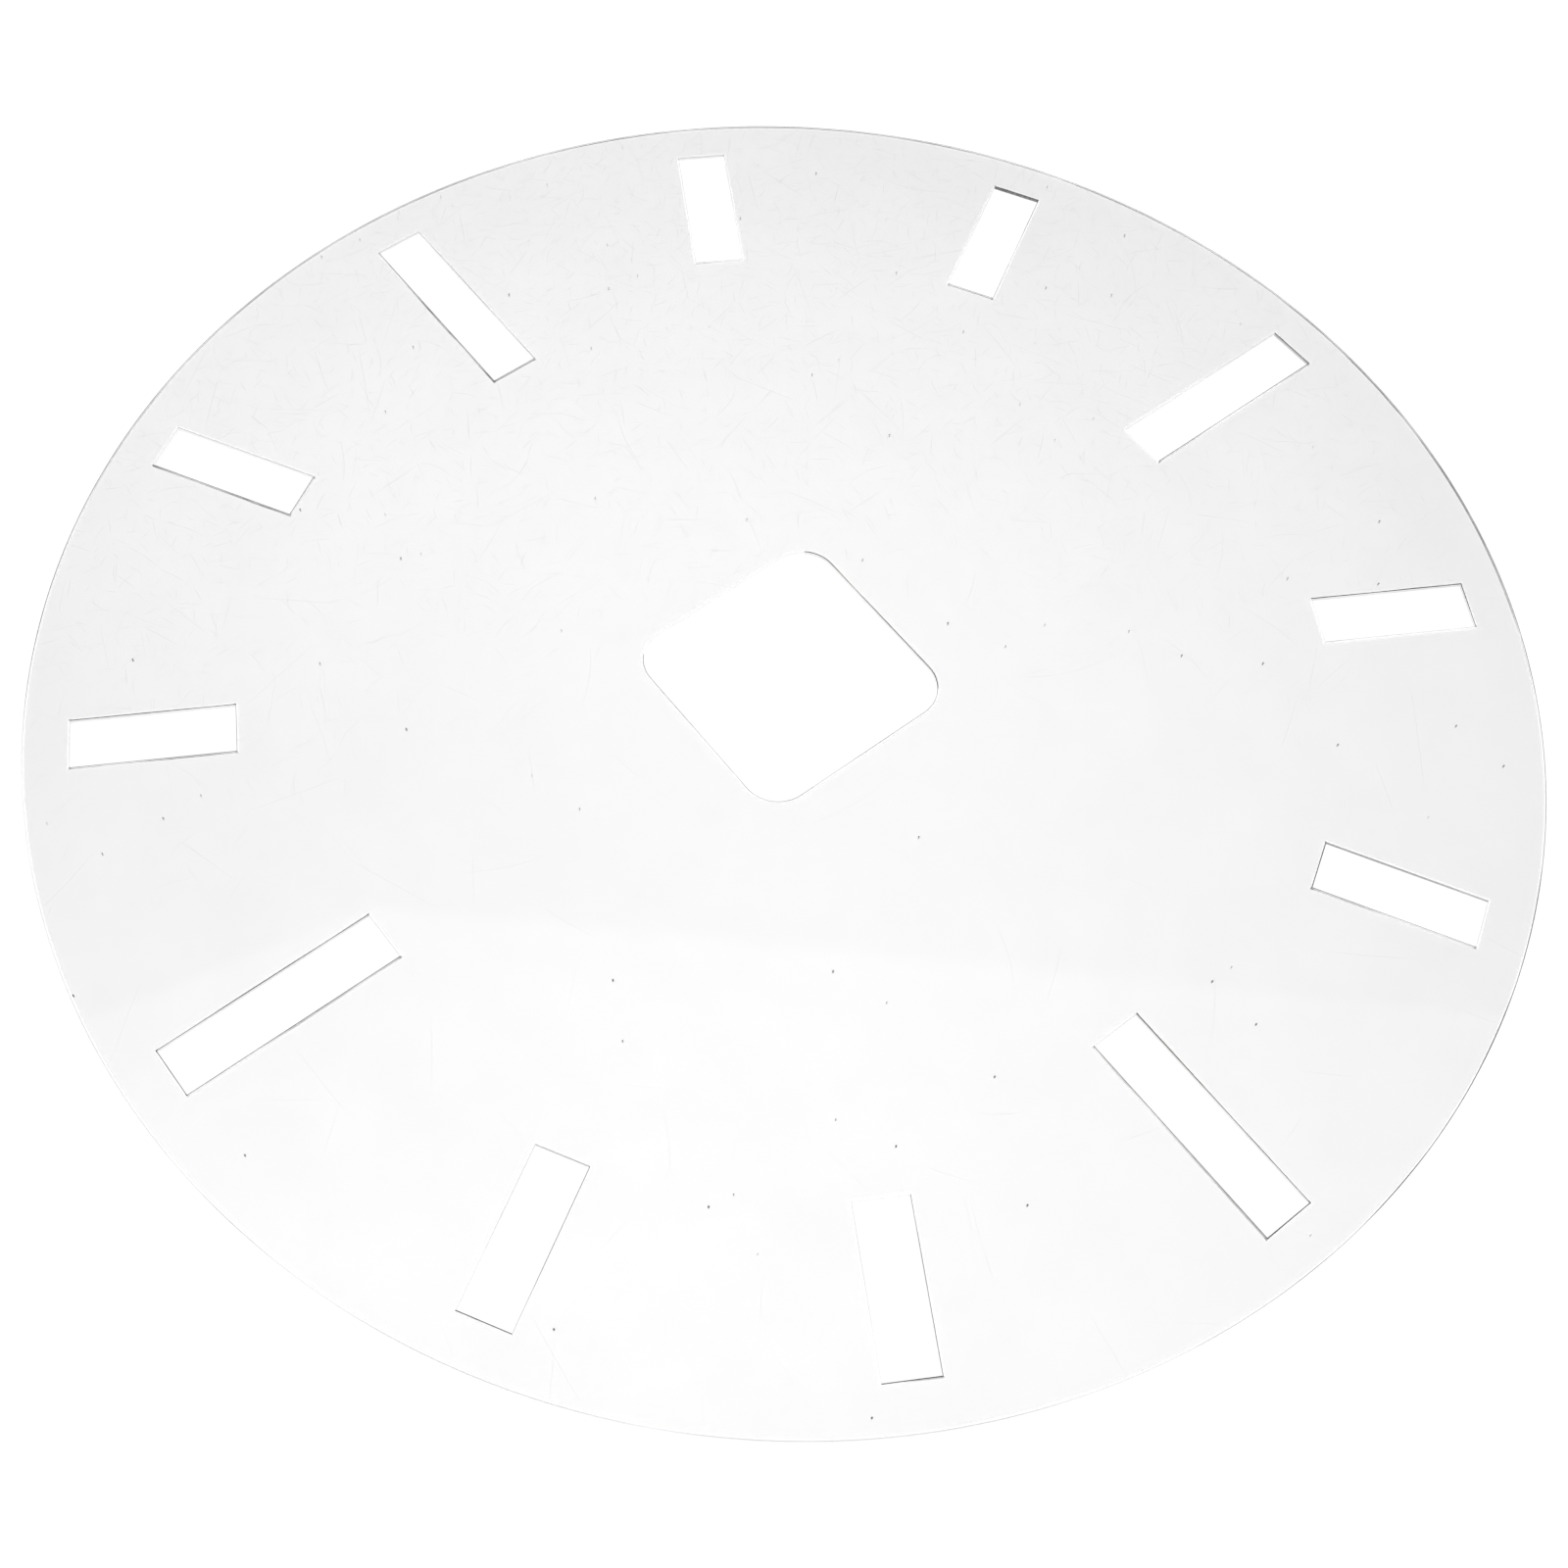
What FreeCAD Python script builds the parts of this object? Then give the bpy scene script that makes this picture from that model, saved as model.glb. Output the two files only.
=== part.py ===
import FreeCAD, Part
import math
import os
import Sketcher

# A clear clock-dial template: a thin laser-cut disc with twelve radial hour slots and a
# rounded square window in the middle, and a clear masking film on each face.
# The outer face of the back film lies on Z = 0, the disc's axis is Z, and the four long
# slots lie on the X and Y axes.

# Driving dimensions, in millimetres.
SIZES = [
    ("disc_diameter", 400.0, "outer diameter of the sheet"),
    ("sheet_thickness", 1.0, "acrylic sheet"),
    ("rim_width", 12.0, "sheet left between the slots and the rim"),
    ("slot_width", 14.0, "every slot, side to side"),
    ("short_slot_length", 42.5, "the eight hour slots between the quarters"),
    ("long_slot_length", 60.0, "the four quarter slots"),
    ("window_side", 61.5, "square window, flat to flat"),
    ("window_corner", 10.0, "corner radius of the window"),
    ("film_thickness", 0.05, "masking film"),
    ("adhesive_gap", 0.02, "room for the film's adhesive"),
    ("film_setback", 0.2, "how far the film's edge lies back from the cut"),
]
HOURS = 12
QUARTERS = 4
VOLUME_TOLERANCE = 0.001

# The numbers that stand for the points of a sketched edge, and for a sketch's own axes
# and root point.
START = 1
END = 2
CENTRE = 3
SKETCH_X_AXIS = -1
SKETCH_Y_AXIS = -2
ROOT_POINT = (-1, 1)

UP = FreeCAD.Vector(0, 0, 1)

doc = FreeCAD.newDocument("clock_dial_template")


def make_spreadsheet():
    """Write the driving dimensions into a spreadsheet, one aliased cell each."""
    sheet = doc.addObject("Spreadsheet::Sheet", "sizes")
    for row, (alias, value, meaning) in enumerate(SIZES, start=1):
        sheet.set(f"A{row}", alias)
        sheet.set(f"B{row}", str(value))
        sheet.set(f"C{row}", meaning)
        sheet.setAlias(f"B{row}", alias)
    doc.recompute()
    return sheet


def origin_feature(body, role):
    """Return the body's own origin plane or axis with this role."""
    for feature in body.Origin.OriginFeatures:
        if feature.Role == role:
            return feature
    raise ValueError(f"{body.Label} has no {role}")


def new_sketch(body, name):
    """Start a sketch on the body's own XY plane."""
    sketch = body.newObject("Sketcher::SketchObject", f"{body.Label}_{name}")
    sketch.AttachmentSupport = [(origin_feature(body, "XY_Plane"), "")]
    sketch.MapMode = "FlatFace"
    return sketch


def relate(sketch, *definition):
    """Add a geometric relation to the sketch."""
    sketch.addConstraint(Sketcher.Constraint(*definition))


def dimension(sketch, name, expression, *definition):
    """Add a dimension to the sketch and bind it to the spreadsheet."""
    index = sketch.addConstraint(Sketcher.Constraint(*definition))
    sketch.renameConstraint(index, name)
    sketch.setExpression(f"Constraints.{name}", expression)


def draw_disc(body, setback):
    """Sketch the disc's outline, centred on the axis."""
    sketch = new_sketch(body, "disc_outline")
    radius = sizes.disc_diameter / 2
    rim = sketch.addGeometry(Part.Circle(FreeCAD.Vector(), UP, radius))
    relate(sketch, "Coincident", rim, CENTRE, *ROOT_POINT)
    dimension(
        sketch, "disc_radius", f"sizes.disc_diameter / 2 - {setback}",
        "Radius", rim, radius,
    )
    return sketch


def draw_slot(body, name, length_alias, setback):
    """Sketch one square-ended slot on the +Y axis, its outer end one rim width in."""
    sketch = new_sketch(body, f"{name}_outline")
    half_width = sizes.slot_width / 2
    outer = sizes.disc_diameter / 2 - sizes.rim_width
    length = getattr(sizes, length_alias)
    corners = [
        FreeCAD.Vector(-half_width, outer - length, 0),
        FreeCAD.Vector(half_width, outer - length, 0),
        FreeCAD.Vector(half_width, outer, 0),
        FreeCAD.Vector(-half_width, outer, 0),
    ]
    edges = []
    for corner, next_corner in zip(corners, corners[1:] + corners[:1]):
        edges.append(sketch.addGeometry(Part.LineSegment(corner, next_corner)))
    for edge, next_edge in zip(edges, edges[1:] + edges[:1]):
        relate(sketch, "Coincident", edge, END, next_edge, START)
    inner_end, right_side, outer_end, left_side = edges
    relate(sketch, "Horizontal", inner_end)
    relate(sketch, "Vertical", right_side)
    relate(sketch, "Vertical", left_side)
    relate(sketch, "Symmetric", outer_end, START, outer_end, END, SKETCH_Y_AXIS)
    dimension(
        sketch, "slot_width", f"sizes.slot_width + 2 * {setback}",
        "DistanceX", inner_end, START, inner_end, END, 2 * half_width,
    )
    dimension(
        sketch, "slot_length", f"sizes.{length_alias} + 2 * {setback}",
        "DistanceY", right_side, START, right_side, END, length,
    )
    dimension(
        sketch, "slot_outer_end", f"sizes.disc_diameter / 2 - sizes.rim_width + {setback}",
        "DistanceY", *ROOT_POINT, right_side, END, outer,
    )
    return sketch


def draw_window(body, setback):
    """Sketch the square window: four sides joined by four corner arcs."""
    sketch = new_sketch(body, "window_outline")
    side = sizes.window_side
    corner = sizes.window_corner
    half = side / 2
    flat = half - corner
    quarter_turn = math.pi / 2
    sides = []
    arcs = []
    for turn in range(4):
        spin = FreeCAD.Rotation(UP, 90 * turn)
        side_start = spin.multVec(FreeCAD.Vector(half, -flat, 0))
        side_end = spin.multVec(FreeCAD.Vector(half, flat, 0))
        sides.append(sketch.addGeometry(Part.LineSegment(side_start, side_end)))
        circle = Part.Circle(spin.multVec(FreeCAD.Vector(flat, flat, 0)), UP, corner)
        arc = Part.ArcOfCircle(circle, quarter_turn * turn, quarter_turn * (turn + 1))
        arcs.append(sketch.addGeometry(arc))
    for turn in range(4):
        next_side = sides[(turn + 1) % 4]
        relate(sketch, "Tangent", sides[turn], END, arcs[turn], START)
        relate(sketch, "Tangent", arcs[turn], END, next_side, START)
    for arc, next_arc in zip(arcs, arcs[1:]):
        relate(sketch, "Equal", arc, next_arc)
    right_side, top_side, left_side, bottom_side = sides
    relate(sketch, "Vertical", left_side)
    relate(sketch, "Horizontal", bottom_side)
    relate(sketch, "Symmetric", right_side, START, right_side, END, SKETCH_X_AXIS)
    relate(sketch, "Symmetric", top_side, START, top_side, END, SKETCH_Y_AXIS)
    side_expression = f"sizes.window_side + 2 * {setback}"
    dimension(
        sketch, "window_width", side_expression,
        "DistanceX", left_side, START, right_side, START, side,
    )
    dimension(
        sketch, "window_height", side_expression,
        "DistanceY", bottom_side, START, top_side, START, side,
    )
    dimension(
        sketch, "window_corner", f"sizes.window_corner + {setback}",
        "Radius", arcs[0], corner,
    )
    return sketch


def cut_through(body, sketch, name):
    """Cut a sketch up through the whole thickness."""
    pocket = body.newObject("PartDesign::Pocket", f"{body.Label}_{name}")
    pocket.Profile = sketch
    pocket.Type = "ThroughAll"
    pocket.Reversed = True
    doc.recompute()
    return pocket


def repeat_round(body, feature, count):
    """Repeat a cut at equal angles round the disc's axis."""
    pattern = body.newObject("PartDesign::PolarPattern", f"{feature.Name}_pattern")
    pattern.Originals = [feature]
    pattern.Axis = (origin_feature(body, "Z_Axis"), [""])
    pattern.Angle = 360
    pattern.Occurrences = count
    body.Tip = pattern
    doc.recompute()


def make_layer(label, thickness, height, setback):
    """Build one layer of the template, with every cut edge moved back by the setback.

    A short slot is cut at all twelve hours, and the quarters are then cut again, longer.
    """
    body = doc.addObject("PartDesign::Body", label)
    body.Label = label
    pad = body.newObject("PartDesign::Pad", f"{label}_disc")
    pad.Profile = draw_disc(body, setback)
    pad.setExpression("Length", thickness)
    doc.recompute()
    cut_through(body, draw_window(body, setback), "window")
    short_slot = draw_slot(body, "hour_slot", "short_slot_length", setback)
    repeat_round(body, cut_through(body, short_slot, "hour_slot"), HOURS)
    long_slot = draw_slot(body, "quarter_slot", "long_slot_length", setback)
    repeat_round(body, cut_through(body, long_slot, "quarter_slot"), QUARTERS)
    body.Placement = FreeCAD.Placement()
    body.setExpression("Placement.Base.z", height)
    doc.recompute()
    return body


def expected_volume(thickness, setback):
    """Work out a layer's volume from the sizes, to compare with the built shape."""
    width = sizes.slot_width + 2 * setback
    short_length = sizes.short_slot_length + 2 * setback
    long_length = sizes.long_slot_length + 2 * setback
    window_side = sizes.window_side + 2 * setback
    window_corner = sizes.window_corner + setback
    disc = math.pi * (sizes.disc_diameter / 2 - setback) ** 2
    slots = width * ((HOURS - QUARTERS) * short_length + QUARTERS * long_length)
    window = window_side ** 2 - (4 - math.pi) * window_corner ** 2
    return thickness * (disc - slots - window)


def check_model(layers_and_volumes):
    """Stop if any object failed, or if a layer isn't the solid it should be."""
    for item in doc.Objects:
        if "Invalid" in item.State or "Error" in item.State:
            raise RuntimeError(f"{item.Name} is {item.State}")
    for body, volume in layers_and_volumes:
        shape = body.Shape
        if shape.isNull() or not shape.isValid() or len(shape.Solids) != 1:
            raise RuntimeError(f"{body.Label} is not one valid solid")
        if abs(shape.Volume / volume - 1) > VOLUME_TOLERANCE:
            raise RuntimeError(f"{body.Label} holds {shape.Volume} mm3, not {volume} mm3")


sizes = make_spreadsheet()

back_film = make_layer(
    label="back_film",
    thickness="sizes.film_thickness",
    height="0",
    setback="sizes.film_setback",
)
template_sheet = make_layer(
    label="template_sheet",
    thickness="sizes.sheet_thickness",
    height="sizes.film_thickness + sizes.adhesive_gap",
    setback="0",
)
front_film = make_layer(
    label="front_film",
    thickness="sizes.film_thickness",
    height="sizes.film_thickness + 2 * sizes.adhesive_gap + sizes.sheet_thickness",
    setback="sizes.film_setback",
)

film_volume = expected_volume(sizes.film_thickness, sizes.film_setback)
sheet_volume = expected_volume(sizes.sheet_thickness, 0)
check_model([
    (back_film, film_volume),
    (template_sheet, sheet_volume),
    (front_film, film_volume),
])

os.makedirs("parts", exist_ok=True)
for layer in (back_film, template_sheet, front_film):
    layer.Shape.exportStep(f"parts/{layer.Label}.step")
    box = layer.Shape.BoundBox
    print(f"{layer.Label}: {layer.Shape.Volume:.1f} mm3, Z {box.ZMin:.3f} to {box.ZMax:.3f}")
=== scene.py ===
import math

import bmesh
import bpy
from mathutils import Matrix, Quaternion, Vector


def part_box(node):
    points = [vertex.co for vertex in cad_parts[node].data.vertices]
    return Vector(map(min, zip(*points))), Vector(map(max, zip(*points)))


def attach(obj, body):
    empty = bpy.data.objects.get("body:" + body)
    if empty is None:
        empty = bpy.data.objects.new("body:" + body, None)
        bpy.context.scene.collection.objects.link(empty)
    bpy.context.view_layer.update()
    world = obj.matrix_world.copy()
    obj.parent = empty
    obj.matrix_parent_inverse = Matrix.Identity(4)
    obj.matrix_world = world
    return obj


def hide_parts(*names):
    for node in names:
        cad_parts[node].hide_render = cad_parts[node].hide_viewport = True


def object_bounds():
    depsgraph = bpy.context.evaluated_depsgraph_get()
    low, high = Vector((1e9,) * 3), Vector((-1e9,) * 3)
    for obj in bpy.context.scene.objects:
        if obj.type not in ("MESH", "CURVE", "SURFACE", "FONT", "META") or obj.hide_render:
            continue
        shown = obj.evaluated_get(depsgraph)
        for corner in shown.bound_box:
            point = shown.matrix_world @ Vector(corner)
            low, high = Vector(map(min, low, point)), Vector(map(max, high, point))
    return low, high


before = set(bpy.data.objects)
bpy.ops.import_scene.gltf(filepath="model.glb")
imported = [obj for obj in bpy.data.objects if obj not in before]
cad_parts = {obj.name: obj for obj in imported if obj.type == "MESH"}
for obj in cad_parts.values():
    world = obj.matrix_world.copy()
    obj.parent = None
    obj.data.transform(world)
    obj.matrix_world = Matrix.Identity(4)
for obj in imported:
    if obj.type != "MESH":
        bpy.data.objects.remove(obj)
cad_low, cad_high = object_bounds()

MM = 0.001

# The layers' outlines, as the CAD holds them, in metres.
DISC_RADIUS = 200.0 * MM
RIM_WIDTH = 12.0 * MM
SLOT_WIDTH = 14.0 * MM
SHORT_SLOT = 42.5 * MM
LONG_SLOT = 60.0 * MM
WINDOW_SIDE = 61.5 * MM
WINDOW_CORNER = 10.0 * MM
FILM_SETBACK = 0.2 * MM
HOURS = 12
HOURS_PER_QUARTER = 3

# Small shapes that the looks add, all inside the CAD's walls.
RIM_POINTS = 720
CORNER_POINTS = 24
LIP_WIDTH = 0.4 * MM
LIP_HEIGHT = 0.06 * MM
FILM_EDGE_BREAK = 0.01 * MM
CORNER_MARK = 0.7 * MM
FILM_BORDER = 0.3 * MM
SMOOTH_BELOW = math.radians(6)

FLOOR_CLEARANCE = 0.2 * MM
FLOOR_SIZE = 8.0

# The camera's place, round the disc's centre at the sheet's upper face, and what it aims at.
CAMERA_AZIMUTH = math.radians(-43.03)
CAMERA_ELEVATION = math.radians(57.86)
CAMERA_DISTANCE = 2.887 * DISC_RADIUS
CAMERA_ROLL = math.radians(3.87)
AIM = (-0.1455 * DISC_RADIUS, -0.0911 * DISC_RADIUS)
LENS = 49.79
SENSOR = 36.0
SHIFT_X = 0.0243
SHIFT_Y = -0.0041


# ---------------------------------------------------------------- geometry

def disc_outline(grow):
    """The rim, pulled in by grow."""
    radius = DISC_RADIUS - grow
    points = []
    for step in range(RIM_POINTS):
        angle = 2 * math.pi * step / RIM_POINTS
        points.append((radius * math.cos(angle), radius * math.sin(angle)))
    return points


def window_outline(grow):
    """The rounded square window, opened by grow on every side."""
    corner = WINDOW_CORNER + grow
    flat = WINDOW_SIDE / 2 - WINDOW_CORNER
    points = []
    for turn in range(4):
        centre_angle = math.pi / 4 + turn * math.pi / 2
        centre_x = flat * math.sqrt(2) * math.cos(centre_angle)
        centre_y = flat * math.sqrt(2) * math.sin(centre_angle)
        for step in range(CORNER_POINTS + 1):
            angle = (turn + step / CORNER_POINTS) * math.pi / 2
            points.append((centre_x + corner * math.cos(angle), centre_y + corner * math.sin(angle)))
    return points


def slot_outline(hour, grow):
    """One hour's slot, opened by grow on every side.

    It runs late side, outer end, early side, inner end, and each side has a point near both
    of its corners.
    """
    length = LONG_SLOT if hour % HOURS_PER_QUARTER == 0 else SHORT_SLOT
    outer = DISC_RADIUS - RIM_WIDTH
    inner = outer - length
    half = SLOT_WIDTH / 2
    angle = math.pi / 2 - 2 * math.pi * hour / HOURS
    along = Vector((math.cos(angle), math.sin(angle)))
    across = Vector((-along.y, along.x))
    corners = [
        along * (inner - grow) - across * (half + grow),
        along * (outer + grow) - across * (half + grow),
        along * (outer + grow) + across * (half + grow),
        along * (inner - grow) + across * (half + grow),
    ]
    points = []
    for side, corner in enumerate(corners):
        after = corners[(side + 1) % 4]
        mark = (after - corner).normalized() * CORNER_MARK
        points += [tuple(corner), tuple(corner + mark), tuple(after - mark)]
    return points


def layer_outlines(grow):
    """Every outline of a layer whose material is cut back by grow."""
    holes = [window_outline(grow)]
    holes += [slot_outline(hour, grow) for hour in range(1, HOURS + 1)]
    return [disc_outline(grow)] + holes


# How dark each cut looks, from 0, clear and almost unseen, to 1: partly the frost the laser left
# and partly painted shade, the dark lines that cut edges show by refraction, painted on side by side.
# A lip is the melted edge of a cut, and this is the share of its width that is painted dark. A wall
# is the cut itself, and this is how dark its painted shade is.
CLEAR = 0.0
TRACE = 0.16
FAINT = 0.35
HALF = 0.68
DARK = 1.0
LATE_SIDE, OUTER_END, EARLY_SIDE, INNER_END = range(4)
# Painted shade by facing: slot sides that face along this way, away from the camera, or back towards
# it, get darker lips.
SHADED_FACING = math.radians(47)
SHADED_FACING_CLEAR = 0.35
SHADED_FACING_DARK = 0.75
SHADED_FACING_LIP = 0.8
# Painted shade on the slot sides' lips, listed side by side; sides not listed take it by facing.
LIPS = {
    (1, OUTER_END): TRACE,
    (1, INNER_END): FAINT,
    (2, OUTER_END): DARK,
    (2, LATE_SIDE): FAINT,
    (2, INNER_END): HALF,
    (3, LATE_SIDE): HALF,
    (3, OUTER_END): DARK,
    (3, INNER_END): CLEAR,
    (3, EARLY_SIDE): TRACE,
    (4, LATE_SIDE): FAINT,
    (4, OUTER_END): HALF,
    (4, EARLY_SIDE): DARK,
    (5, LATE_SIDE): HALF,
    (5, EARLY_SIDE): TRACE,
    (5, INNER_END): HALF,
    (6, INNER_END): TRACE,
    (7, LATE_SIDE): TRACE,
    (7, OUTER_END): DARK,
    (7, EARLY_SIDE): FAINT,
    (7, INNER_END): CLEAR,
    (8, OUTER_END): DARK,
    (8, EARLY_SIDE): FAINT,
    (8, INNER_END): FAINT,
    (9, LATE_SIDE): HALF,
    (9, OUTER_END): HALF,
    (9, INNER_END): TRACE,
    (10, LATE_SIDE): HALF,
    (10, EARLY_SIDE): HALF,
    (10, INNER_END): FAINT,
    (11, LATE_SIDE): FAINT,
    (11, EARLY_SIDE): DARK,
    (11, INNER_END): HALF,
    (12, LATE_SIDE): FAINT,
    (12, OUTER_END): TRACE,
    (12, EARLY_SIDE): DARK,
    (12, INNER_END): HALF,
}
# Painted shade on some slots' far walls, darker than their lips would give.
WALLS = {
    (2, OUTER_END): DARK,
    (3, OUTER_END): FAINT,
    (5, EARLY_SIDE): HALF,
    (7, OUTER_END): DARK,
    (8, OUTER_END): DARK,
}
# Painted shade on the other walls, at the slot corners and on the window's four sides.
CLEAN_WALL = 0.06
CORNER_DARK = 1.0
WINDOW_LIPS = (HALF, CLEAR, FAINT, FAINT)
# The rim's lip is painted shade by direction: lighter round the stretch towards the light, and darkest
# round another.
RIM_LIP = 0.6
CLEAR_RIM = 0.18
CLEAR_RIM_MIDDLE = math.radians(208)
CLEAR_RIM_HALF = math.radians(55)
CLEAR_RIM_FADE = math.radians(20)
DARK_RIM = 0.8
DARK_RIM_MIDDLE = math.radians(345)
DARK_RIM_HALF = math.radians(10)
DARK_RIM_FADE = math.radians(20)


def smooth(value, low, high):
    """Rise smoothly from 0 at low to 1 at high."""
    share = min(max((value - low) / (high - low), 0.0), 1.0)
    return share * share * (3 - 2 * share)


def turned_from(angle, middle):
    """How far an angle lies from a middle, either way round."""
    return abs((angle - middle + math.pi) % (2 * math.pi) - math.pi)


def slot_lip_painted_shade(hour, side, start, end):
    """A slot side's lip: as listed, or painted shade that grows as the side faces away from the camera
    or back towards it.
    """
    run = math.atan2(end[1] - start[1], end[0] - start[0])
    facing = abs(math.sin(run - SHADED_FACING))
    by_facing_shade = TRACE + (SHADED_FACING_LIP - TRACE) * smooth(facing, SHADED_FACING_CLEAR, SHADED_FACING_DARK)
    return LIPS.get((hour, side), by_facing_shade)


def rim_lip_painted_shade(angle):
    """The rim's lip at an angle, as painted shade by direction: almost clear round one stretch, the
    side towards the light, and darkest at another.
    """
    off_clear = turned_from(angle, CLEAR_RIM_MIDDLE)
    off_dark = turned_from(angle, DARK_RIM_MIDDLE)
    clear = smooth(off_clear, CLEAR_RIM_HALF + CLEAR_RIM_FADE, CLEAR_RIM_HALF)
    dark = smooth(off_dark, DARK_RIM_HALF + DARK_RIM_FADE, DARK_RIM_HALF)
    return RIM_LIP + (DARK_RIM - RIM_LIP) * dark + (CLEAR_RIM - RIM_LIP) * clear


def cut_frost_and_painted_shades():
    """The lip and wall looks of every side of a layer, frost and painted shade, in the order of
    layer_outlines.
    """
    rim, window, *slots = layer_outlines(0.0)
    rim_lip_painted_shades = [rim_lip_painted_shade(math.atan2(y, x)) for x, y in rim]
    window_lips = [WINDOW_LIPS[round(math.degrees(math.atan2(y, x)) / 90) % 4] for x, y in window]
    looks = [[(lip, CLEAN_WALL * lip) for lip in lips] for lips in (rim_lip_painted_shades, window_lips)]
    for hour, slot in enumerate(slots, start=1):
        sides = []
        for side in range(4):
            first, after = slot[3 * side], slot[(3 * side + 3) % len(slot)]
            lip = slot_lip_painted_shade(hour, side, first, after)
            wall = WALLS.get((hour, side), CLEAN_WALL * lip)
            corner = (max(lip, CORNER_DARK * smooth(lip, TRACE, HALF)), wall)
            sides += [corner, (lip, wall), corner]
        looks.append(sides)
    return looks


# The places of a layer's materials. A film's edge slot holds its border.
LOWER_FACE_SLOT, UPPER_FACE_SLOT, EDGE_SLOT, LIP_SLOT = range(4)


def sheet_profile(low, high):
    """The sheet's cut edge, from its lower to its upper face.

    Each level is its height, how far it lies back from the cut, and the material slot of the
    band above it. The last level has no band.
    """
    return [
        (low, LIP_WIDTH, LIP_SLOT),
        (low + LIP_HEIGHT, 0.0, EDGE_SLOT),
        (high - LIP_HEIGHT, 0.0, LIP_SLOT),
        (high, LIP_WIDTH, None),
    ]


def film_profile(low, high):
    """A film's cut edge: its border band, which carries a painted highlight, a broken edge, the thin
    wall, and the same above.
    """
    broken = FILM_SETBACK + FILM_EDGE_BREAK
    border = FILM_SETBACK + FILM_BORDER
    return [
        (low, border, EDGE_SLOT),
        (low, broken, EDGE_SLOT),
        (low + FILM_EDGE_BREAK, FILM_SETBACK, EDGE_SLOT),
        (high - FILM_EDGE_BREAK, FILM_SETBACK, EDGE_SLOT),
        (high, broken, EDGE_SLOT),
        (high, border, None),
    ]


def make_layer(name, node, profile, materials):
    """Build one flat layer where its CAD node lies: lofted cut walls and two flat faces."""
    low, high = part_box(node)
    levels = profile(low.z, high.z)
    mesh = bpy.data.meshes.new(name)
    for material in materials:
        mesh.materials.append(material)
    bm = bmesh.new()
    # Each face holds how dark its cut is painted: frost and painted shade.
    look = bm.faces.layers.float.new("cut_frost_and_painted_shade")
    across_lip = bm.verts.layers.float.new("across_lip")
    looks = cut_frost_and_painted_shades()
    rings = []
    for z, back, _ in levels:
        level = [[bm.verts.new((x, y, z)) for x, y in outline] for outline in layer_outlines(back)]
        for ring in level:
            for vert in ring:
                vert[across_lip] = back / LIP_WIDTH
        rings.append(level)
    for (_, _, band), lower, upper in zip(levels, rings, rings[1:]):
        for lower_ring, upper_ring, ring_looks in zip(lower, upper, looks):
            count = len(lower_ring)
            for index in range(count):
                after = (index + 1) % count
                corners = (lower_ring[index], lower_ring[after], upper_ring[after], upper_ring[index])
                face = bm.faces.new(corners)
                face.material_index = band
                face[look] = ring_looks[index][0 if band == LIP_SLOT else 1]
                face.smooth = True
    for slot, level in ((LOWER_FACE_SLOT, rings[0]), (UPPER_FACE_SLOT, rings[-1])):
        edges = []
        for ring in level:
            for index, vert in enumerate(ring):
                edges.append(bm.edges.get((vert, ring[(index + 1) % len(ring)])))
        for part in bmesh.ops.triangle_fill(bm, edges=edges, use_beauty=True)["geom"]:
            if isinstance(part, bmesh.types.BMFace):
                part.material_index = slot
    bmesh.ops.recalc_face_normals(bm, faces=bm.faces)
    bm.to_mesh(mesh)
    bm.free()
    mesh.set_sharp_from_angle(angle=SMOOTH_BELOW)
    piece = bpy.data.objects.new(name, mesh)
    bpy.context.scene.collection.objects.link(piece)
    return piece


# ---------------------------------------------------------------- materials

class Tree:
    """A node tree with short ways to add and link nodes."""

    def __init__(self, tree):
        tree.nodes.clear()
        self.nodes = tree.nodes
        self.links = tree.links

    def put(self, value, socket):
        """Link a socket, or set a plain value."""
        if isinstance(value, bpy.types.NodeSocket):
            self.links.new(value, socket)
        else:
            socket.default_value = value

    def add(self, kind, inputs=None, **settings):
        """Add a node, set its properties and fill its inputs."""
        node = self.nodes.new(kind)
        for key, value in settings.items():
            setattr(node, key, value)
        for key, value in (inputs or {}).items():
            self.put(value, node.inputs[key])
        return node

    def math(self, operation, first, second=0.0, clamp=False):
        node = self.add("ShaderNodeMath", {0: first, 1: second}, operation=operation, use_clamp=clamp)
        return node.outputs[0]

    def vector(self, operation, first, second=(0, 0, 0)):
        node = self.add("ShaderNodeVectorMath", {0: first, 1: second}, operation=operation)
        return node.outputs["Value" if operation in ("DOT_PRODUCT", "LENGTH") else "Vector"]

    def turn(self, place, angle):
        """Turn a place about the upright axis."""
        inputs = {"Vector": place, "Angle": angle}
        return self.add("ShaderNodeVectorRotate", inputs, rotation_type="Z_AXIS").outputs[0]

    def noise(self, place, scale, detail):
        """Smooth noise, centred on a half."""
        inputs = {"Vector": place, "Scale": scale, "Detail": detail}
        return self.add("ShaderNodeTexNoise", inputs).outputs["Fac"]

    def ramp(self, value, low, high, to_low=0.0, to_high=1.0):
        """Map a value from one range onto another, smoothly and clamped."""
        node = self.add(
            "ShaderNodeMapRange",
            {"Value": value, "From Min": low, "From Max": high, "To Min": to_low, "To Max": to_high},
            interpolation_type="SMOOTHSTEP",
        )
        return node.outputs["Result"]

    def grey(self, value):
        """Make a colour whose three parts are one value."""
        return self.add("ShaderNodeCombineColor", {0: value, 1: value, 2: value}).outputs[0]

    def mix_shader(self, share, first, second):
        node = self.add("ShaderNodeMixShader", {0: share, 1: first, 2: second})
        return node.outputs[0]


def new_material(name):
    material = bpy.data.materials.new(name)
    material.use_nodes = True
    return material, Tree(material.node_tree)


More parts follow.
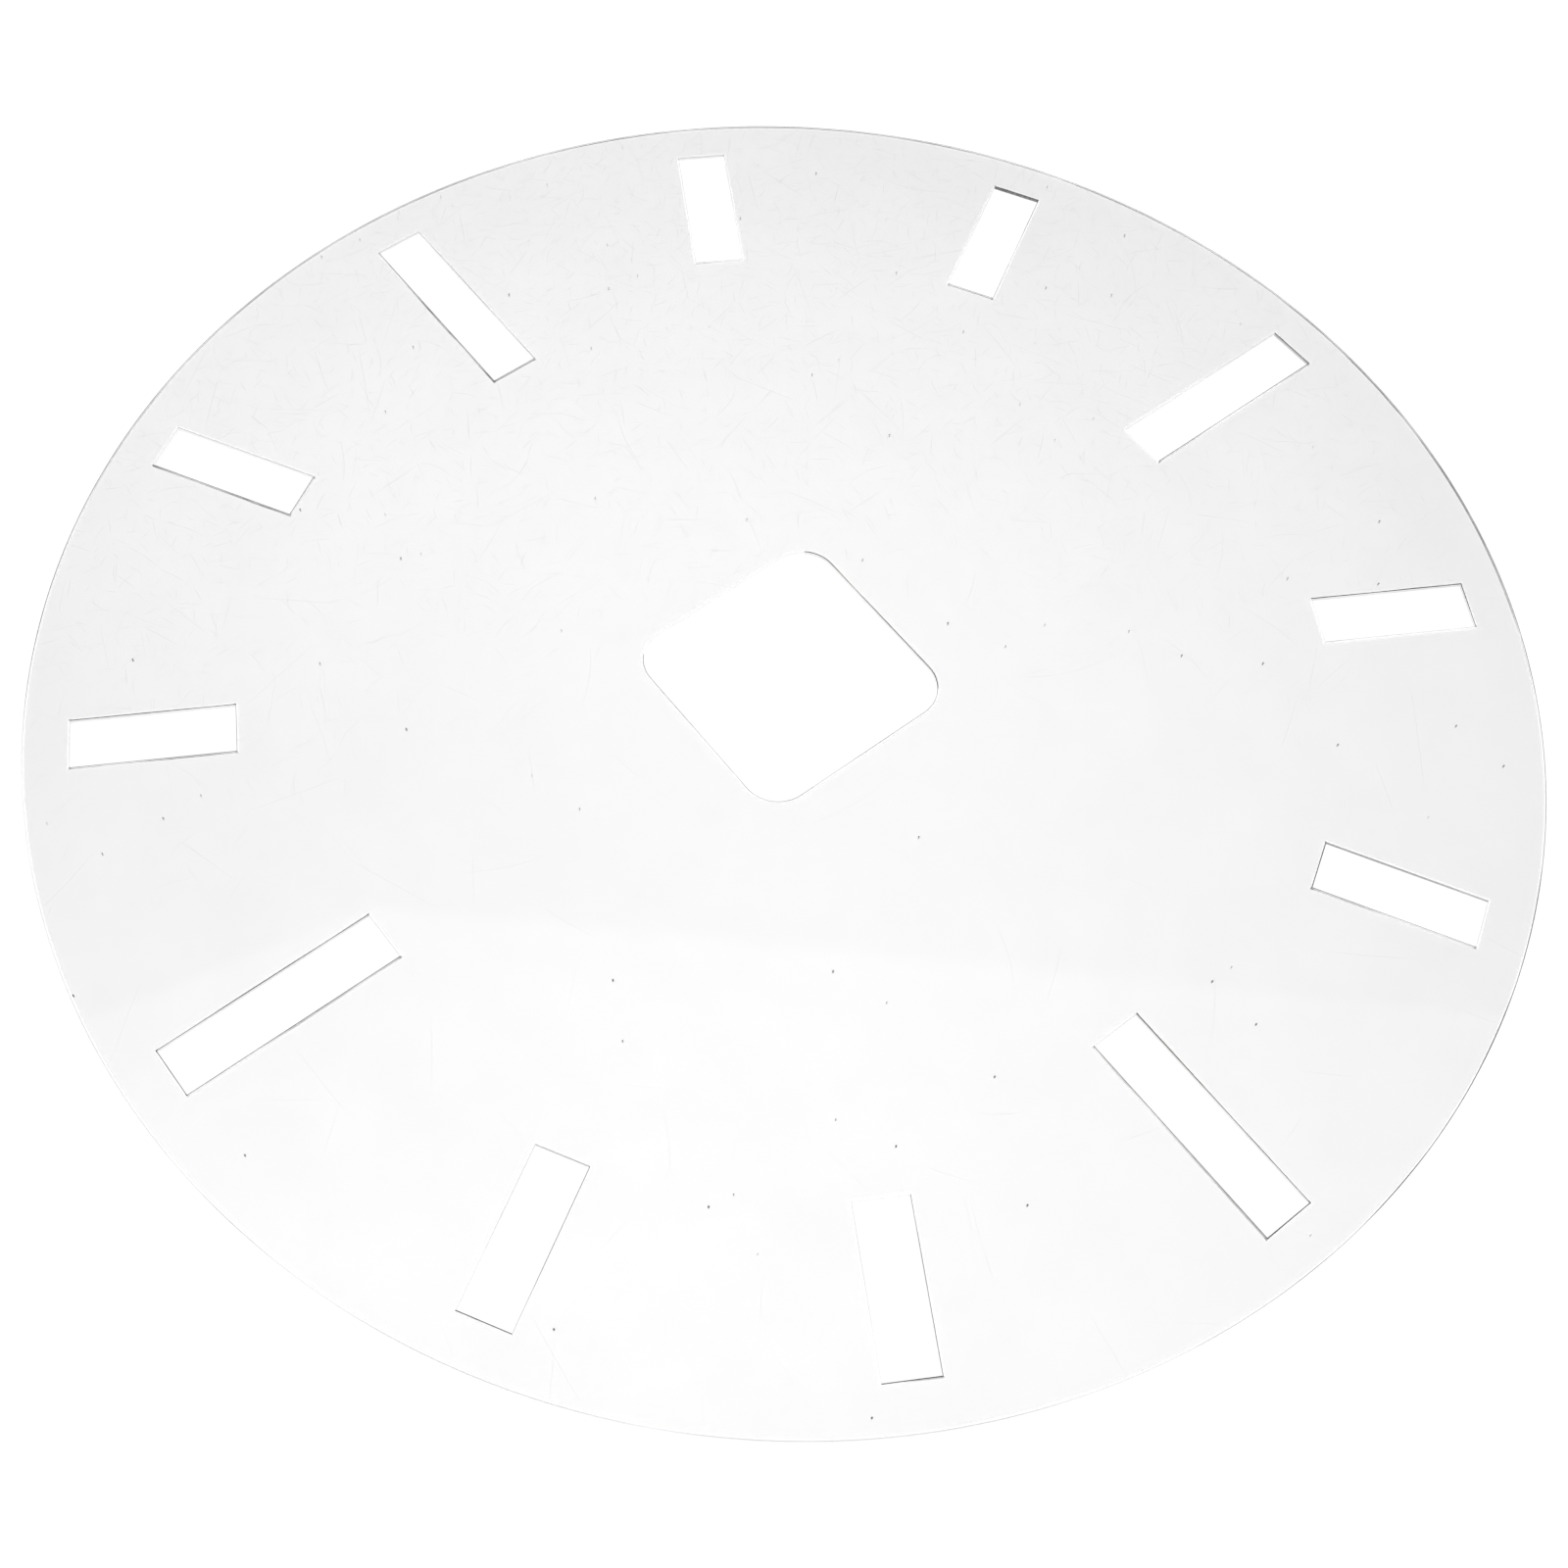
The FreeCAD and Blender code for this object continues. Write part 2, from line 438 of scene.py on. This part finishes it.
def through_for_light(tree, surface, tint):
    """Let light fall straight through to what lies behind, tinted."""
    path = tree.add("ShaderNodeLightPath")
    passing = tree.math("MAXIMUM", path.outputs["Is Shadow Ray"], path.outputs["Is Diffuse Ray"])
    clear = tree.add("ShaderNodeBsdfTransparent", {"Color": (tint, tint, tint, 1)})
    return tree.mix_shader(passing, surface, clear.outputs[0])


# Nearly all of a noise texture's values lie between these two.
NOISE_LOW = 0.3
NOISE_HIGH = 0.7

ACRYLIC_IOR = 1.49
CLOUD_SCALE = 18
CLOUD_TINT = 0.982
WAVE_SCALE = 35
WAVE_DEPTH = 0.01 * MM
SHEET_LIGHT_TINT = 0.985

CUT_DRIFT_SCALE = 30
WEAKEST_LOOK = 0.65
STRONGEST_LOOK = 1.15
WEAK_DRIFT = 0.35
STRONG_DRIFT = 0.6
CUT_LINES_SCALE = 2500
CUT_LINES_UPRIGHT = 0.05
CUT_GLASS_GREY = (0.9, 0.9, 0.9, 1)
CUT_GLASS_ROUGHNESS = 0.15
FROSTED_WHITE = (0.88, 0.88, 0.88, 1)
FROSTED_CLEARNESS = 0.2
CUT_LIGHT_TINT = 0.97
LIP_BLUR = 0.15

FILM_TINT = 0.984
FILM_TINT_CHANGE = 0.002
MOTTLE_SCALE = 60
UNDERSIDE_ROUGHNESS = 0.08
PATCH_SCALE = 16
BORDER_LIFT_SCALE = 120
FILM_GLOSS = 0.005
GRAZING_GLOSS = 0.5
GRAZING_FROM = 0.45

# Fine scratches: each layer holds at most one in every square cell of this size.
DARK_CELLS = [6 * MM, 9 * MM, 14 * MM, 22 * MM, 36 * MM]
PALE_CELLS = [36 * MM, 55 * MM]
SCRATCH_HALF_WIDTH = 0.1 * MM
SCRATCH_BEND = 0.6
SHORTEST_HALF = 0.2
LONGEST_HALF = 0.45
SCRATCH_FADE = 0.3
LAYER_TURN = 0.7
SCRATCH_JITTER = 0.35
DARK_SCRATCH = 0.12
PALE_SCRATCH = 0.09
SPECK_SPACING = 15 * MM
LARGEST_SPECK = 0.3 * MM
SMALLEST_SPECK = 0.5 * LARGEST_SPECK
SPECK_SHARE = 0.15
SPECK_DEPTH = 0.8
SPECK_EDGE = 0.5

# The film is rubbed more and more from one side to the other.
RUBBED_SIDE = math.radians(62)
RUBBED_HAZE = 0.008
RUBBED_FROM = -0.6 * DISC_RADIUS
RUBBED_TO = 0.9 * DISC_RADIUS
RUBBED_CHANCE = 0.9
PATCH_CHANCE = 0.12
LEAST_DARK_SCRATCH = 0.35 * DARK_SCRATCH
MOST_PALE_CHANCE = 0.5
LEAST_PALE_CHANCE = 0.1
PATCH_TINT_CHANGE = 0.003
GLOSSIEST = 0.03
LEAST_GLOSSY = 0.12
# The share of painted highlight on the film's border.
LEAST_BORDER_HIGHLIGHT = 0.08
MOST_BORDER_HIGHLIGHT = 0.28


def scratches(tree, place, cell, seed, chance):
    """One layer of scratches: in some cells of a grid, a short bent line at any angle."""
    turned = tree.turn(place, LAYER_TURN * seed)
    spot = tree.vector("MULTIPLY", turned, (1 / cell, 1 / cell, 0))
    square = tree.vector("FLOOR", spot)
    inside = tree.vector("SUBTRACT", tree.vector("SUBTRACT", spot, square), (0.5, 0.5, 0))
    dice = tree.add("ShaderNodeTexWhiteNoise", {"Vector": tree.vector("ADD", square, (0, 0, seed))})
    angle, bend, length = tree.add("ShaderNodeSeparateColor", {0: dice.outputs["Color"]}).outputs
    shift = tree.vector("SUBTRACT", dice.outputs["Color"], (0.5, 0.5, 0.5))
    shift = tree.vector("MULTIPLY", shift, (SCRATCH_JITTER, SCRATCH_JITTER, 0))
    inside = tree.vector("SUBTRACT", inside, shift)
    line = tree.turn(inside, tree.math("MULTIPLY", angle, 2 * math.pi))
    along, across, _ = tree.add("ShaderNodeSeparateXYZ", {0: line}).outputs
    bend = tree.math("MULTIPLY", tree.math("POWER", bend, 3), SCRATCH_BEND)
    curve = tree.math("MULTIPLY", tree.math("MULTIPLY", along, along), bend)
    off = tree.math("ABSOLUTE", tree.math("SUBTRACT", across, curve))
    mark = tree.ramp(off, SCRATCH_HALF_WIDTH / cell, 0)
    half = tree.ramp(length, 0, 1, SHORTEST_HALF, LONGEST_HALF)
    reach = tree.ramp(tree.math("DIVIDE", tree.math("ABSOLUTE", along), half), 1.0, SCRATCH_FADE)
    present = tree.math("LESS_THAN", dice.outputs["Value"], chance)
    return tree.math("MULTIPLY", tree.math("MULTIPLY", mark, reach), present)


def specks(tree, place):
    """Sparse specks of dust."""
    inputs = {"Vector": place, "Scale": 1 / SPECK_SPACING}
    cells = tree.add("ShaderNodeTexVoronoi", inputs, voronoi_dimensions="2D")
    size, chosen, _ = tree.add("ShaderNodeSeparateColor", {0: cells.outputs["Color"]}).outputs
    smallest = SMALLEST_SPECK / SPECK_SPACING
    radius = tree.ramp(size, 0, 1, smallest, LARGEST_SPECK / SPECK_SPACING)
    spot = tree.ramp(tree.math("DIVIDE", cells.outputs["Distance"], radius), 1.0, SPECK_EDGE)
    return tree.math("MULTIPLY", spot, tree.math("LESS_THAN", chosen, SPECK_SHARE))


def clear_acrylic():
    """The sheet's faces: clear, with a slight cloudiness and the faint waviness of cast sheet."""
    material, tree = new_material("clear_acrylic")
    place = tree.add("ShaderNodeTexCoord").outputs["Object"]
    cloud = tree.noise(place, CLOUD_SCALE, 3)
    wave = tree.noise(place, WAVE_SCALE, 1)
    bump = tree.add("ShaderNodeBump", {"Strength": 1.0, "Distance": WAVE_DEPTH, "Height": wave})
    glass = tree.add(
        "ShaderNodeBsdfPrincipled",
        {
            "Base Color": tree.grey(tree.ramp(cloud, NOISE_LOW, NOISE_HIGH, CLOUD_TINT, 1.0)),
            "Roughness": 0.0,
            "IOR": ACRYLIC_IOR,
            "Transmission Weight": 1.0,
            "Normal": bump.outputs[0],
        },
    )
    surface = through_for_light(tree, glass.outputs[0], SHEET_LIGHT_TINT)
    tree.add("ShaderNodeOutputMaterial", {"Surface": surface})
    return material


def cut_material(name, darkness, glassy, is_lip=False):
    """A laser-cut surface: almost clear, a frosted white, where its look is clear, and elsewhere
    painted shade, a dark grey standing in for the dark a cut shows by refraction.

    On a lip the look sets how far in from the cut the painted shade reaches.
    """
    material, tree = new_material(name)
    place = tree.add("ShaderNodeTexCoord").outputs["Object"]
    drift = tree.noise(place, CUT_DRIFT_SCALE, 2)
    look = tree.add("ShaderNodeAttribute", attribute_name="cut_frost_and_painted_shade").outputs["Fac"]
    strength = tree.ramp(drift, WEAK_DRIFT, STRONG_DRIFT, WEAKEST_LOOK, STRONGEST_LOOK)
    look = tree.math("MULTIPLY", look, strength, clamp=True)
    if is_lip:
        across = tree.add("ShaderNodeAttribute", attribute_name="across_lip").outputs["Fac"]
        look = tree.math("MULTIPLY", tree.math("SUBTRACT", look, across), 1 / LIP_BLUR, clamp=True)
    upright = tree.vector("MULTIPLY", place, (1, 1, CUT_LINES_UPRIGHT))
    lines = tree.noise(upright, CUT_LINES_SCALE, 1)
    striped = tree.ramp(lines, NOISE_LOW, NOISE_HIGH, 0.75, 1.25)
    drifting = tree.ramp(drift, NOISE_LOW, NOISE_HIGH, 0.7, 1.3)
    tone = tree.math("MULTIPLY", tree.math("MULTIPLY", striped, drifting), darkness)
    glass = tree.add(
        "ShaderNodeBsdfPrincipled",
        {
            "Base Color": CUT_GLASS_GREY,
            "Roughness": CUT_GLASS_ROUGHNESS,
            "IOR": ACRYLIC_IOR,
            "Transmission Weight": 1.0,
        },
    )
    # Painted shade: a dark grey, striped like a laser cut, that stands in for the dark the cut shows
    # by refraction.
    painted_edge_shade = tree.add("ShaderNodeBsdfDiffuse", {"Color": tree.grey(tone)})
    frosted = tree.add("ShaderNodeBsdfDiffuse", {"Color": FROSTED_WHITE})
    clear = tree.add("ShaderNodeBsdfTransparent", {"Color": (1, 1, 1, 1)})
    pale = tree.mix_shader(FROSTED_CLEARNESS, frosted.outputs[0], clear.outputs[0])
    dark = tree.mix_shader(glassy, painted_edge_shade.outputs[0], glass.outputs[0])
    surface = tree.mix_shader(look, pale, dark)
    surface = through_for_light(tree, surface, CUT_LIGHT_TINT)
    tree.add("ShaderNodeOutputMaterial", {"Surface": surface})
    return material


def film_surface(tree, tint, roughness, scattered=0.0):
    """A clear film: the tinted view through it, a gloss and any light its marks scatter.

    The gloss is faint face on, and strong where the film is seen edge on.
    """
    clear = tree.add("ShaderNodeBsdfTransparent", {"Color": tree.grey(tint)})
    gloss = tree.add("ShaderNodeBsdfGlossy", {"Color": (1, 1, 1, 1), "Roughness": roughness})
    white = tree.add("ShaderNodeBsdfDiffuse", {"Color": (1, 1, 1, 1)})
    facing = tree.add("ShaderNodeLayerWeight").outputs["Facing"]
    mirrored = tree.ramp(facing, GRAZING_FROM, 1.0, FILM_GLOSS, GRAZING_GLOSS)
    surface = tree.mix_shader(mirrored, clear.outputs[0], gloss.outputs[0])
    surface = tree.mix_shader(scattered, surface, white.outputs[0])
    surface = through_for_light(tree, surface, FILM_TINT)
    tree.add("ShaderNodeOutputMaterial", {"Surface": surface})


def film_underside():
    """The film's face against the acrylic: clean, with the faint mottle of its adhesive."""
    material, tree = new_material("film_adhesive")
    place = tree.add("ShaderNodeTexCoord").outputs["Object"]
    mottle = tree.noise(place, MOTTLE_SCALE, 1)
    palest = FILM_TINT + FILM_TINT_CHANGE
    darkest = FILM_TINT - FILM_TINT_CHANGE
    tint = tree.ramp(mottle, NOISE_LOW, NOISE_HIGH, darkest, palest)
    film_surface(tree, tint, UNDERSIDE_ROUGHNESS)
    return material


def all_scratches(tree, place, cells, seed, chance):
    """Scratches of every size added together."""
    marks = scratches(tree, place, cells[0], seed, chance)
    for layer, cell in enumerate(cells[1:], start=1):
        marks = tree.math("ADD", marks, scratches(tree, place, cell, seed + layer, chance))
    return marks


def worn_film(name, seed):
    """The film's outer face: scratched, dusty and a little hazy, most of all towards one side."""
    material, tree = new_material(name)
    place = tree.add("ShaderNodeTexCoord").outputs["Object"]
    rubbed_way = (math.cos(RUBBED_SIDE), math.sin(RUBBED_SIDE), 0)
    towards = tree.vector("DOT_PRODUCT", place, rubbed_way)
    rubbed = tree.ramp(towards, RUBBED_FROM, RUBBED_TO)
    patches = tree.noise(place, PATCH_SCALE, 2)
    blotch = tree.ramp(patches, 0.4, 0.7)
    by_rubbing = tree.math("MULTIPLY", rubbed, RUBBED_CHANCE)
    by_patch = tree.math("MULTIPLY", blotch, PATCH_CHANCE)
    chance = tree.math("ADD", by_rubbing, by_patch)
    dark = all_scratches(tree, place, DARK_CELLS, seed, chance)
    pale_chance = tree.ramp(rubbed, 0, 0.5, MOST_PALE_CHANCE, LEAST_PALE_CHANCE)
    pale = all_scratches(tree, place, PALE_CELLS, seed + len(DARK_CELLS), pale_chance)
    depth = tree.ramp(rubbed, 0, 0.8, LEAST_DARK_SCRATCH, DARK_SCRATCH)
    haze = tree.math("MULTIPLY", rubbed, RUBBED_HAZE)
    dim = tree.math("ADD", tree.math("MULTIPLY", dark, depth), haze)
    dim = tree.math("ADD", dim, tree.math("MULTIPLY", specks(tree, place), SPECK_DEPTH))
    uneven = tree.ramp(patches, NOISE_LOW, NOISE_HIGH, -PATCH_TINT_CHANGE, PATCH_TINT_CHANGE)
    dim = tree.math("ADD", dim, uneven)
    tint = tree.math("MULTIPLY", tree.math("SUBTRACT", 1.0, dim), FILM_TINT, clamp=True)
    scattered = tree.math("MULTIPLY", pale, PALE_SCRATCH)
    roughness = tree.ramp(patches, NOISE_LOW, NOISE_HIGH, GLOSSIEST, LEAST_GLOSSY)
    film_surface(tree, tint, roughness, scattered)
    return material


def film_border():
    """The film's edge, lifted a little by the cut, with a painted highlight: a share of white that
    makes it a paler line, standing in for the light its lifted edge catches.
    """
    material, tree = new_material("film_border")
    place = tree.add("ShaderNodeTexCoord").outputs["Object"]
    lift = tree.noise(place, BORDER_LIFT_SCALE, 2)
    clear = tree.add("ShaderNodeBsdfTransparent", {"Color": (1, 1, 1, 1)})
    # Painted highlight: a varying share of white diffuse.
    border_highlight = tree.add("ShaderNodeBsdfDiffuse", {"Color": (1, 1, 1, 1)})
    border_highlight_share = tree.ramp(lift, NOISE_LOW, NOISE_HIGH, LEAST_BORDER_HIGHLIGHT, MOST_BORDER_HIGHLIGHT)
    surface = tree.mix_shader(border_highlight_share, clear.outputs[0], border_highlight.outputs[0])
    surface = through_for_light(tree, surface, 1.0)
    tree.add("ShaderNodeOutputMaterial", {"Surface": surface})
    return material


def white_floor():
    material, tree = new_material("white_floor")
    diffuse = tree.add("ShaderNodeBsdfDiffuse", {"Color": (0.9, 0.9, 0.9, 1)})
    tree.add("ShaderNodeOutputMaterial", {"Surface": diffuse.outputs[0]})
    return material


# ---------------------------------------------------------------- the object

acrylic = clear_acrylic()
# The cut walls and lips carry painted shade, the lips darkest.
cut_edge = cut_material("laser_cut_edge", darkness=0.2, glassy=0.2)
lip = cut_material("melted_lip", darkness=0.03, glassy=0.05, is_lip=True)
front_face = worn_film("front_film_face", seed=1)
back_face = worn_film("back_film_face", seed=11)
adhesive = film_underside()
border = film_border()

sheet_looks = [acrylic, acrylic, cut_edge, lip]
front_looks = [adhesive, front_face, border]
back_looks = [back_face, adhesive, border]
LAYERS = [
    ("acrylic_sheet", "template_sheet", sheet_profile, sheet_looks, "clear_acrylic"),
    ("front_masking_film", "front_film", film_profile, front_looks, "masking_film"),
    ("back_masking_film", "back_film", film_profile, back_looks, "masking_film"),
]
for name, node, profile, materials, finish in LAYERS:
    piece = make_layer(name, node, profile, materials)
    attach(piece, node)
    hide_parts(node)

# ---------------------------------------------------------------- stage, light and camera

# Reflected light, as directions measured on a ceiling one unit up: "along" runs away from the
# camera and "side" to its right. The panel is a soft round light overhead, the step is the
# straight edge of a brighter area towards the camera, and the beam is a soft dark band across
# the left. The walls are brighter near the horizon, so the plate stays pale seen edge on.
SEEN_BACKGROUND = 1.1
SOFT_LIGHT = 1.17
WALL_LIGHT = 0.30
HORIZON_LIGHT = 0.4
HORIZON_TOP = 0.55
HORIZON_BOTTOM = 0.1
PANEL_LIGHT = 1.66
PANEL_FAR = 0.60
PANEL_FAR_FADE = 0.593
PANEL_NEAR = 0.28
PANEL_NEAR_FADE = 0.25
PANEL_SIDE = -0.08
PANEL_SIDE_FADE = 0.666
STEP_LIGHT = 0.33
STEP_FAR = 0.469
STEP_FADE = 0.008
STEP_CORNER = -0.2
STEP_SLOPE = 0.6
STEP_FULL = 0.6
BEAM_DIM = 0.45
BEAM_ALONG = 0.5
BEAM_FADE = 0.19
BEAM_END = 0.1
BEAM_FULL = -0.21
DARKEST = 0.1
LOWEST = 0.05

floor_mesh = bpy.data.meshes.new("floor")
floor_height = cad_low.z - FLOOR_CLEARANCE
floor_corners = []
for x, y in ((-1, -1), (1, -1), (1, 1), (-1, 1)):
    floor_corners.append((x * FLOOR_SIZE / 2, y * FLOOR_SIZE / 2, floor_height))
floor_mesh.from_pydata(floor_corners, [], [(0, 1, 2, 3)])
floor_mesh.materials.append(white_floor())
floor = bpy.data.objects.new("floor", floor_mesh)
bpy.context.scene.collection.objects.link(floor)


def studio_light(sky):
    """How bright the studio is in each direction."""
    direction = sky.add("ShaderNodeTexCoord").outputs["Generated"]
    height = sky.math("MAXIMUM", sky.add("ShaderNodeSeparateXYZ", {0: direction}).outputs["Z"], LOWEST)
    away = (-math.sin(CAMERA_AZIMUTH), math.cos(CAMERA_AZIMUTH), 0)
    right = (math.cos(CAMERA_AZIMUTH), math.sin(CAMERA_AZIMUTH), 0)
    along = sky.math("DIVIDE", sky.vector("DOT_PRODUCT", direction, away), height)
    side = sky.math("DIVIDE", sky.vector("DOT_PRODUCT", direction, right), height)
    past_far = sky.math("MAXIMUM", sky.math("SUBTRACT", along, PANEL_FAR), 0)
    past_near = sky.math("MAXIMUM", sky.math("SUBTRACT", PANEL_NEAR, along), 0)
    past_far = sky.math("DIVIDE", past_far, PANEL_FAR_FADE)
    past_near = sky.math("DIVIDE", past_near, PANEL_NEAR_FADE)
    past_end = sky.math("ADD", past_far, past_near)
    past_side = sky.math("DIVIDE", sky.math("SUBTRACT", side, PANEL_SIDE), PANEL_SIDE_FADE)
    off_panel = sky.add("ShaderNodeCombineXYZ", {0: past_end, 1: past_side}).outputs[0]
    off_panel = sky.vector("LENGTH", off_panel)
    panel = sky.ramp(off_panel, 1, 0, 0, PANEL_LIGHT)
    past_corner = sky.math("MAXIMUM", sky.math("SUBTRACT", STEP_CORNER, side), 0)
    from_step = sky.math("ADD", along, sky.math("MULTIPLY", past_corner, STEP_SLOPE))
    step = sky.ramp(from_step, STEP_FAR, STEP_FAR - STEP_FADE, 0, STEP_LIGHT)
    step = sky.math("MULTIPLY", step, sky.ramp(off_panel, 1, STEP_FULL))
    off_beam = sky.math("DIVIDE", sky.math("SUBTRACT", along, BEAM_ALONG), BEAM_FADE)
    beam = sky.math("EXPONENT", sky.math("MULTIPLY", sky.math("MULTIPLY", off_beam, off_beam), -1))
    beam = sky.math("MULTIPLY", beam, sky.ramp(side, BEAM_END, BEAM_FULL, 0, BEAM_DIM))
    horizon = sky.ramp(height, HORIZON_TOP, HORIZON_BOTTOM, WALL_LIGHT, WALL_LIGHT + HORIZON_LIGHT)
    light = sky.math("ADD", sky.math("ADD", panel, step), horizon)
    return sky.math("MAXIMUM", sky.math("SUBTRACT", light, beam), DARKEST)


world = bpy.data.worlds.new("studio")
world.use_nodes = True
bpy.context.scene.world = world
sky = Tree(world.node_tree)
path = sky.add("ShaderNodeLightPath")
seen = sky.add("ShaderNodeBackground", {"Color": (1, 1, 1, 1), "Strength": SEEN_BACKGROUND})
soft = sky.add("ShaderNodeBackground", {"Color": (1, 1, 1, 1), "Strength": SOFT_LIGHT})
mirrored = sky.add("ShaderNodeBackground", {"Color": (1, 1, 1, 1), "Strength": studio_light(sky)})
light = sky.mix_shader(path.outputs["Is Glossy Ray"], soft.outputs[0], mirrored.outputs[0])
surface = sky.mix_shader(path.outputs["Is Camera Ray"], light, seen.outputs[0])
sky.add("ShaderNodeOutputWorld", {"Surface": surface})

scene = bpy.context.scene
scene.view_settings.view_transform = "Standard"
scene.cycles.transparent_max_bounces = 64

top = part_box("template_sheet")[1].z
back = Vector((
    math.sin(CAMERA_AZIMUTH) * math.cos(CAMERA_ELEVATION),
    -math.cos(CAMERA_AZIMUTH) * math.cos(CAMERA_ELEVATION),
    math.sin(CAMERA_ELEVATION),
))
camera = bpy.data.objects.new("camera", bpy.data.cameras.new("camera"))
scene.collection.objects.link(camera)
camera.location = Vector((0, 0, top)) + back * CAMERA_DISTANCE
view = Vector((AIM[0], AIM[1], top)) - camera.location
camera.rotation_mode = "QUATERNION"
camera.rotation_quaternion = view.to_track_quat("-Z", "Y") @ Quaternion((0, 0, 1), CAMERA_ROLL)
camera.data.lens = LENS
camera.data.sensor_width = SENSOR
camera.data.shift_x = SHIFT_X
camera.data.shift_y = SHIFT_Y
scene.camera = camera
